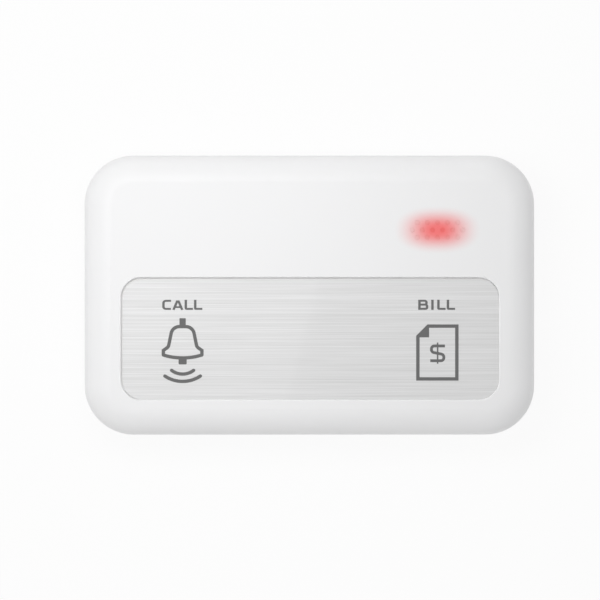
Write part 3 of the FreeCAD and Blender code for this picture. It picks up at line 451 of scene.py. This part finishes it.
def offset(path, distance, closed):
    """Path moved sideways, to its left where distance is above zero, with mitred corners."""
    points = [Vector(p) for p in path]
    count = len(points)
    moved = []
    for i, point in enumerate(points):
        sides = []
        if closed or i > 0:
            sides.append((point - points[i - 1]).normalized())
        if closed or i < count - 1:
            sides.append((points[(i + 1) % count] - point).normalized())
        normals = [Vector((-side.y, side.x)) for side in sides]
        middle = sum(normals, Vector((0, 0))).normalized()
        moved.append((point + middle * distance / middle.dot(normals[0])).to_tuple())
    return moved


def line(path, width, closed=False):
    """Contours of a drawn line: one round an open path, two round a closed one."""
    left, right = offset(path, width / 2, closed), offset(path, -width / 2, closed)
    if not closed:
        return [left + right[::-1]]
    return sorted((left, right), key=lambda contour: -abs(area(contour)))


def area(contour):
    """Area inside a closed contour, above zero where it runs counter-clockwise."""
    pairs = zip(contour, contour[1:] + contour[:1])
    return sum(a[0] * b[1] - b[0] * a[1] for a, b in pairs) / 2


def disc(centre, radius):
    return [arc(centre, radius, 0, 360 - 360 / ARC_STEPS, ARC_STEPS - 1)]


def triangles(shapes, levels=()):
    """Points and triangles of the flat shapes together, cut across at the given levels."""
    points, contours, shape_contours = [], [], []
    for shape in shapes:
        numbers = []
        for contour in shape:
            numbers.append(len(contours))
            contours.append(list(range(len(points), len(points) + len(contour))))
            points += [Vector(p) for p in (contour if area(contour) > 0 else contour[::-1])]
        shape_contours.append(numbers)
    left, right = min(p.x for p in points), max(p.x for p in points)
    cuts = []
    for level in levels:
        cuts.append((len(points), len(points) + 1))
        points += [Vector((left, level)), Vector((right, level))]
    result = delaunay_2d_cdt(points, cuts, contours, KEEP_INSIDE, MERGE_WITHIN)
    flat, _, faces, _, _, origins = result
    kept = []
    for face, inside in zip(faces, origins):
        if any(shape[0] in inside and not set(shape[1:]) & set(inside) for shape in shape_contours):
            kept.append(face)
    return flat, kept


def plate(name, shapes, low_z, high_z, levels=()):
    """Flat closed mesh of shapes that may overlap, each an outline and the holes inside it."""
    flat, faces = triangles(shapes, levels)
    used = sorted({corner for face in faces for corner in face})
    number = {corner: i for i, corner in enumerate(used)}
    count = len(used)
    points = [(*flat[corner], z) for z in (low_z, high_z) for corner in used]
    top = [[number[corner] + count for corner in face] for face in faces]
    bottom = [[number[corner] for corner in reversed(face)] for face in faces]
    rims = {edge for face in bottom for edge in zip(face, face[1:] + face[:1])}
    outer = [edge for edge in rims if edge[::-1] not in rims]
    walls = [(a, a + count, b + count, b) for a, b in sorted(outer)]
    mesh = bpy.data.meshes.new(name)
    mesh.from_pydata(points, [], top + bottom + walls)
    return mesh


def place_piece(name, mesh, material):
    """Object of a mesh whose edges stay sharp where its faces turn."""
    mesh.name = name
    mesh.shade_smooth()
    mesh.set_sharp_from_angle(angle=SHARP_FROM)
    mesh.materials.append(material)
    piece = bpy.data.objects.new(name, mesh)
    bpy.context.scene.collection.objects.link(piece)
    return piece


# Legends ------------------------------------------------------------------------------------------


def letter_c(width):
    h, half = LEGEND_HEIGHT, LEGEND_STROKE / 2
    path = [(width, h - half), (half, h - half), (half, half), (width, half)]
    return [line(rounded(path, (0, LETTER_CORNER, LETTER_CORNER, 0)), LEGEND_STROKE)]


def letter_a(width):
    """Two legs that meet in a narrow flat top, and a slightly thinner bar."""
    h, half = LEGEND_HEIGHT, LEGEND_STROKE / 2
    foot, top = half * 1.05, 0.12
    peak, level = h - half * 1.6, h * 0.27
    legs = [(foot, 0), (width / 2 - top, peak), (width / 2 + top, peak), (width - foot, 0)]
    bar = [(width * 0.25, level), (width * 0.75, level)]
    return [line(legs, LEGEND_STROKE), line(bar, LEGEND_STROKE * 0.9)]


def letter_l(width):
    h, half = LEGEND_HEIGHT, LEGEND_STROKE / 2
    path = [(half, h), (half, half), (width, half)]
    return [line(rounded(path, (0, HEEL_CORNER, 0)), LEGEND_STROKE)]


def letter_i(width):
    h, half = LEGEND_HEIGHT, LEGEND_STROKE / 2
    return [line([(half, 0), (half, h)], LEGEND_STROKE)]


def letter_b(width):
    """Two closed bowls that share their middle bar, of which the upper is a little narrower."""
    h, half = LEGEND_HEIGHT, LEGEND_STROKE / 2
    waist, narrower = h * 0.52, 0.1
    radii = (0, BOWL_CORNER, BOWL_CORNER, 0)
    bowls = []
    for right, low, high in ((width - narrower, waist, h - half), (width, half, waist)):
        path = [(half, low), (right - half, low), (right - half, high), (half, high)]
        bowls.append(line(rounded(path, radii, True), LEGEND_STROKE, True))
    return bowls


# how each letter is drawn, and its width in millimetres
LETTERS = {
    "C": (letter_c, 1.7),
    "A": (letter_a, 2.2),
    "L": (letter_l, 1.62),
    "I": (letter_i, LEGEND_STROKE * LETTER_STRETCH),
    "B": (letter_b, 1.95),
}
WORDS = {"call": "CALL", "bill": "BILL"}
LETTER_GAPS = {"call": (0.22, 0.2, 0.2), "bill": (0.57, 0.68, 0.22)}


def word(side):
    """Shapes of a key's word, centred on the key."""
    text = WORDS[side]
    gaps = LETTER_GAPS[side]
    total = sum(LETTERS[c][1] for c in text) + sum(gaps)
    shapes = []
    x = -total / 2
    for index, character in enumerate(text):
        draw, width = LETTERS[character]
        for contours in draw(width / LETTER_STRETCH):
            for contour in contours:
                contour[:] = [(px * LETTER_STRETCH + x, py + LEGEND_BASE) for px, py in contour]
            shapes.append(contours)
        x += width + (gaps[index] if index < len(gaps) else 0)
    return shapes


def block(half_width, low_y, high_y, low_radius, high_radius):
    """Upright rectangle across the middle line, with rounded lower and upper corners."""
    left, right = -half_width, half_width
    points = [(left, low_y), (right, low_y), (right, high_y), (left, high_y)]
    return [rounded(points, (low_radius, low_radius, high_radius, high_radius), True)]


def bell():
    """Handbell with its crown, clapper and two sound waves."""
    # one side of the body, from the shoulder down to the rim
    right = [(1.95, -6.03), (2.75, -9.94), (3.73, -10.64), (3.73, -11.52)]
    radii = [1.6, 0.85, 0.0, 0.05]
    left = [(-x, y) for x, y in reversed(right)]
    rim = sagging_arc(*right[-1], -12.09)[1:-1]
    # the arc of the rim goes in between the two lower corners
    outline = rounded(right + rim[::-1] + left, radii + [0] * len(rim) + radii[::-1], True)
    crown = block(0.61, -6.1, -4.4, 0, 0.14)
    clapper = block(0.79, -13.35, -12.1, 0.24, 0)
    shapes = [line(outline, ICON_STROKE, True), crown, clapper]
    for half_width, end_y, low_y in ((2.13, -14.49, -15.21), (3.43, -15.59, -16.63)):
        wave = sagging_arc(half_width, end_y, low_y)
        shapes.append(line(wave, ICON_STROKE))
        shapes += [disc(end, ICON_STROKE / 2) for end in (wave[0], wave[-1])]
    return shapes


def bill_sheet():
    """Sheet of paper with a folded corner and a dollar sign."""
    half = ICON_STROKE / 2
    side, top, bottom, fold = 4.1 - half, -5.62 - half, -16.49 + half, 2.0
    edge = [(-side, bottom), (side, bottom), (side, top), (-side + fold, top), (-side, top - fold)]
    corner = [(-side, top - fold), (-side + fold, top), (-side + fold, top - fold)]
    inwards = 0.17
    flap = [(x + inwards, y - inwards) for x, y in corner]
    upper = [(1.47, -9.78), (-1.15, -9.78), (-1.15, -10.96)]
    lower = [(1.25, -11.46), (1.25, -12.64), (-1.37, -12.64)]
    bend = 0.57
    curve = rounded(upper + lower, (0, bend, bend, bend, bend, 0))
    bar = [(0.05, -9.12), (0.05, -13.22)]
    return [
        line(edge, ICON_STROKE, True),
        [flap],
        line(curve, DOLLAR_STROKE),
        line(bar, DOLLAR_BAR),
    ]


def legend(name, shapes, side, ink, rigid_y, bent_y):
    """Printed shapes on the film of a key, cut across in rows over the flex zone."""
    film_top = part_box("graphic_overlay")[1].z / MM
    low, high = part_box(f"{side}_key")
    levels = [(rigid_y + (bent_y - rigid_y) * i / FLEX_STEPS) / MM for i in range(FLEX_STEPS + 1)]
    mesh = plate(name, shapes, film_top, film_top + INK_THICKNESS, levels)
    mesh.transform(Matrix.Translation(((low.x + high.x) / 2 / MM + LEGEND_SHIFT[name], 0, 0)))
    mesh.transform(Matrix.Scale(MM, 4))
    piece = place_piece(name, mesh, ink)
    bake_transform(piece)


def print_legends(ink):
    """The word and the sign of each key, on top of the film."""
    for side, sign in (("call", bell), ("bill", bill_sheet)):
        low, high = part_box(f"{side}_key")
        far, near = high.y - KEY_FLANGE, low.y + KEY_FLANGE
        legend(f"{side}_word", word(side), side, ink, far, far + FLEX_WIDTH)
        legend(f"{side}_sign", sign(), side, ink, near, near - FLEX_WIDTH)


def mark_cell(ink):
    """Plus sign on the face of the coin cell that shows once the battery door is off."""
    low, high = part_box("coin_cell_can")
    middle = (low + high) / 2 / MM
    half = PLUS_MARK / 2
    bars = [
        line([(middle.x - half, middle.y), (middle.x + half, middle.y)], PLUS_STROKE),
        line([(middle.x, middle.y - half), (middle.x, middle.y + half)], PLUS_STROKE),
    ]
    face = low.z / MM
    mesh = plate("cell_plus_mark", bars, face - INK_THICKNESS, face)
    mesh.transform(Matrix.Scale(MM, 4))
    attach(place_piece("cell_plus_mark", mesh, ink), "housing")


# Film ---------------------------------------------------------------------------------------------


def corners(low, high, grow=0.0):
    """Corners of a box seen from above, counter-clockwise."""
    left, right = low.x - grow, high.x + grow
    near, far = low.y - grow, high.y + grow
    return [(left, near), (right, near), (right, far), (left, far)]


def strip(outer, inner, low_z, high_z):
    """Mitred strip between an outer and an inner edge, in steps fine enough to bend."""
    rows = []
    for step in range(FLEX_STEPS + 1):
        share = step / FLEX_STEPS
        rows.append([Vector(a).lerp(Vector(b), share) for a, b in zip(outer, inner)])
    points = [(*p, z) for row in rows for p in row for z in (low_z, high_z)]
    faces = []
    for a in range(0, 4 * FLEX_STEPS, 4):
        b = a + 4
        faces += [(a + 1, a + 3, b + 3, b + 1), (a, b, b + 2, a + 2)]
        faces += [(a, a + 1, b + 1, b), (a + 2, b + 2, b + 3, a + 3)]
    end = 4 * FLEX_STEPS
    faces += [(0, 2, 3, 1), (end, end + 1, end + 3, end + 2)]
    mesh = bpy.data.meshes.new("strip")
    mesh.from_pydata(points, [], faces)
    return mesh


def flex(side, name, outer, inner, film):
    """Strip of film along one edge of a key, in the zone where the real film bends as the key goes
    down.
    """
    low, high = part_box("graphic_overlay")
    piece = place_piece(f"film_{side}_{name}", strip(outer, inner, low.z, high.z), film)
    across = 1 if name in ("near", "far") else 0
    start, end = [0, 0, 0], [0, 0, 0]
    start[across], end[across] = outer[0][across], inner[0][across]
    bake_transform(piece)


def flexible_film(film):
    """The overlay as a frame on the cover, a plate on each key, and strips between them."""
    low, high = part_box("graphic_overlay")
    outline = rounded(corners(low, high, FILM_GROWS), (FILM_RADIUS,) * 4, True)
    frame_shape = [[(x + FILM_SHIFT[0], y + FILM_SHIFT[1]) for x, y in outline]]
    for side in SIDES:
        key_low, key_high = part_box(f"{side}_key")
        inner = corners(key_low, key_high, -KEY_FLANGE)
        outer = corners(key_low, key_high, FLEX_WIDTH - KEY_FLANGE)
        frame_shape.append(outer)
        centre = plate(f"film_{side}", [[inner]], low.z, high.z)
        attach(place_piece(f"film_{side}", centre, film), f"{side}_key")
        for i, name in enumerate(("near", "right", "far", "left")):
            ends = (i, (i + 1) % 4)
            flex(side, name, [outer[end] for end in ends], [inner[end] for end in ends], film)
    rim = plate("film_frame", [frame_shape], low.z, high.z)
    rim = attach(place_piece("film_frame", rim, film), "housing")
    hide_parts("graphic_overlay")


# Snap domes ---------------------------------------------------------------------------------------


def turned(profile, middle):
    """Closed mesh of a profile turned round an upright axis, on which it starts and ends."""
    (_, start), *rest, (_, end) = profile
    count = len(rest)
    points = [(middle.x, middle.y, start), (middle.x, middle.y, end)]
    faces = []
    for step in range(DOME_STEPS):
        turn = math.tau * step / DOME_STEPS
        x, y = math.cos(turn), math.sin(turn)
        points += [(middle.x + r * x, middle.y + r * y, z) for r, z in rest]
        a = 2 + step * count
        b = 2 + (step + 1) % DOME_STEPS * count
        faces += [(0, a, b), (1, b + count - 1, a + count - 1)]
        faces += [(a + i, a + i + 1, b + i + 1, b + i) for i in range(count - 1)]
    mesh = bpy.data.meshes.new("turned")
    mesh.from_pydata(points, [], faces)
    return mesh


def snap_dome(side, metal):
    """Curved spring of a switch, under the stem that comes down on it."""
    low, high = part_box(f"{side}_switch_dome")
    middle = (low + high) / 2
    radius = (high.x - low.x) / 2
    rise = high.z - low.z - DOME_METAL - DOME_CLEARANCE
    curve = []
    for ring in range(DOME_RINGS + 1):
        share = ring / DOME_RINGS
        curve.append((radius * share, low.z + rise * (1 - share**2)))
    profile = [(r, z + DOME_METAL) for r, z in curve] + curve[::-1]
    mesh = turned(profile, middle)
    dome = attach(place_piece(f"{side}_snap_dome", mesh, metal), "housing")
    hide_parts(f"{side}_switch_dome")
    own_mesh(dome)


# Stage --------------------------------------------------------------------------------------------

# Camera: lens and sensor in millimetres, and how far it stands off the vertical, in degrees
# along X and along Y
CAMERA_LENS = 1000.0
SENSOR = 36.0
CAMERA_LEANS = (-1.0, 0.6)

# Floor: its side and its own colour, the share of its shading that the camera sees, and the
# share of white that a mirrored ray sees
FLOOR_SIDE = 6.0
FLOOR_WHITE = 0.9
FLOOR_KEEPS_SHADOW = 0.08
FLOOR_SHINE = 0.4

# World: the strength of its light on the object, from straight above and from the sides
AMBIENT_ABOVE = 0.055
AMBIENT_AROUND = 1.32

# Lamps, in metres and watts: the right side of the overhead panel passes over (OVERHEAD_EDGE, 0),
# and OVERHEAD_TURN is how far the panel is turned about Z, in degrees
KEY_PLACE = (-0.08, 0.075, 0.25)
KEY_SIZE = (0.2, 0.1)
KEY_POWER = 0.118
FILL_PLACE = (-0.03, 0.03, 0.15)
FILL_SIZE = (0.08, 0.05)
FILL_POWER = 0.0542
OVERHEAD_HEIGHT = 0.6
OVERHEAD_SIZE = (0.5, 0.6)
OVERHEAD_EDGE = 0.0133
OVERHEAD_TURN = 14.6
OVERHEAD_POWER = 0.524


def softbox(name, place, size, power, target):
    """Rectangular light that faces the target and isn't seen directly."""
    lamp = bpy.data.lights.new(name, "AREA")
    lamp.shape = "RECTANGLE"
    lamp.size, lamp.size_y = size
    lamp.energy = power
    holder = bpy.data.objects.new(name, lamp)
    holder.location = place
    holder.rotation_euler = (Vector(target) - Vector(place)).to_track_quat("-Z", "Y").to_euler()
    holder.visible_camera = False
    bpy.context.scene.collection.objects.link(holder)
    return holder


def ray_share(tree, seen, mirrored):
    """Share for rays from the camera and refracted ones, another for mirrored ones, and else 0."""
    path = tree.nodes.new("ShaderNodeLightPath")
    total = None
    for name, share in (("Camera", seen), ("Transmission", seen), ("Glossy", mirrored)):
        scaled = tree.nodes.new("ShaderNodeMath")
        scaled.operation = "MULTIPLY"
        scaled.inputs[1].default_value = share
        tree.links.new(path.outputs[f"Is {name} Ray"], scaled.inputs[0])
        if total is None:
            total = scaled.outputs[0]
            continue
        either = tree.nodes.new("ShaderNodeMath")
        either.operation = "MAXIMUM"
        tree.links.new(total, either.inputs[0])
        tree.links.new(scaled.outputs[0], either.inputs[1])
        total = either.outputs[0]
    return total


def white_world():
    """White where it is seen, and on the object a plain grey light that is stronger lower down."""
    world = bpy.data.worlds.new("studio")
    bpy.context.scene.world = world
    world.use_nodes = True
    tree = world.node_tree
    direction = tree.nodes.new("ShaderNodeTexCoord")
    split = tree.nodes.new("ShaderNodeSeparateXYZ")
    tree.links.new(direction.outputs["Generated"], split.inputs[0])
    ambient = tree.nodes.new("ShaderNodeMapRange")
    ambient.inputs["To Min"].default_value = AMBIENT_AROUND
    ambient.inputs["To Max"].default_value = AMBIENT_ABOVE
    tree.links.new(split.outputs["Z"], ambient.inputs["Value"])
    strength = tree.nodes.new("ShaderNodeMapRange")
    tree.links.new(ambient.outputs["Result"], strength.inputs["To Min"])
    tree.links.new(ray_share(tree, 1.0, 1.0), strength.inputs["Value"])
    background = tree.nodes["Background"]
    background.inputs["Color"].default_value = (1, 1, 1, 1)
    tree.links.new(strength.outputs["Result"], background.inputs["Strength"])


def white_floor():
    """Table top that looks white and keeps a faint shadow."""
    half = FLOOR_SIDE / 2
    mesh = bpy.data.meshes.new("table_top")
    square = [(-half, -half, 0), (half, -half, 0), (half, half, 0), (-half, half, 0)]
    mesh.from_pydata(square, [], [(0, 1, 2, 3)])
    floor = bpy.data.objects.new("table_top", mesh)
    bpy.context.scene.collection.objects.link(floor)
    material = bpy.data.materials.new("table_white")
    material.use_nodes = True
    tree = material.node_tree
    tree.nodes.clear()
    output = tree.nodes.new("ShaderNodeOutputMaterial")
    matt = tree.nodes.new("ShaderNodeBsdfDiffuse")
    matt.inputs["Color"].default_value = (*grey(FLOOR_WHITE), 1)
    white = tree.nodes.new("ShaderNodeEmission")
    blend = tree.nodes.new("ShaderNodeMixShader")
    tree.links.new(ray_share(tree, 1 - FLOOR_KEEPS_SHADOW, FLOOR_SHINE), blend.inputs["Fac"])
    tree.links.new(matt.outputs[0], blend.inputs[1])
    tree.links.new(white.outputs[0], blend.inputs[2])
    tree.links.new(blend.outputs[0], output.inputs["Surface"])
    mesh.materials.append(material)


def studio():
    """Soft key light, low fill light, and a wide panel whose edge shows in the film's gloss."""
    softbox("key_light", KEY_PLACE, KEY_SIZE, KEY_POWER, (0, 0, 0))
    fill = softbox("fill_light", FILL_PLACE, FILL_SIZE, FILL_POWER, (*FILL_PLACE[:2], 0))
    fill.visible_glossy = False
    half = OVERHEAD_SIZE[0] / 2
    turn = math.radians(OVERHEAD_TURN)
    x, y = OVERHEAD_EDGE - half * math.cos(turn), half * math.sin(turn)
    place = (x, y, OVERHEAD_HEIGHT)
    panel = softbox("overhead_light", place, OVERHEAD_SIZE, OVERHEAD_POWER, (x, y, 0))
    panel.rotation_euler.z = -turn
    white_world()
    white_floor()


def camera():
    """Above the front face, framed as in the photograph and leaning a little to the left."""
    low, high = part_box("top_cover")
    metres_per_pixel = (high.x - low.x) / OUTLINE_WIDTH_PX
    aim = (low + high) / 2
    aim.x += (PHOTO_SIDE / 2 - OUTLINE_CENTRE_PX[0]) * metres_per_pixel
    aim.y += (OUTLINE_CENTRE_PX[1] - PHOTO_SIDE / 2) * metres_per_pixel
    lens = bpy.data.cameras.new("camera")
    lens.lens = CAMERA_LENS
    lens.sensor_width = SENSOR
    lens.clip_end = 100
    eye = bpy.data.objects.new("camera", lens)
    distance = PHOTO_SIDE * metres_per_pixel * CAMERA_LENS / SENSOR
    lean_x, lean_y = (math.radians(lean) for lean in CAMERA_LEANS)
    eye.location = aim + distance * Vector((math.tan(lean_x), math.tan(lean_y), 1))
    eye.rotation_euler = (-lean_y, lean_x, 0)
    bpy.context.scene.collection.objects.link(eye)
    bpy.context.scene.camera = eye


def main():
    camera()
    studio()
    materials = dress_frame()
    flexible_film(materials["film"])
    print_legends(legend_ink())
    mark_cell(etched_steel())
    for side in SIDES:
        snap_dome(side, materials["spring_metal"])
    bpy.context.scene.view_settings.view_transform = "Standard"


main()
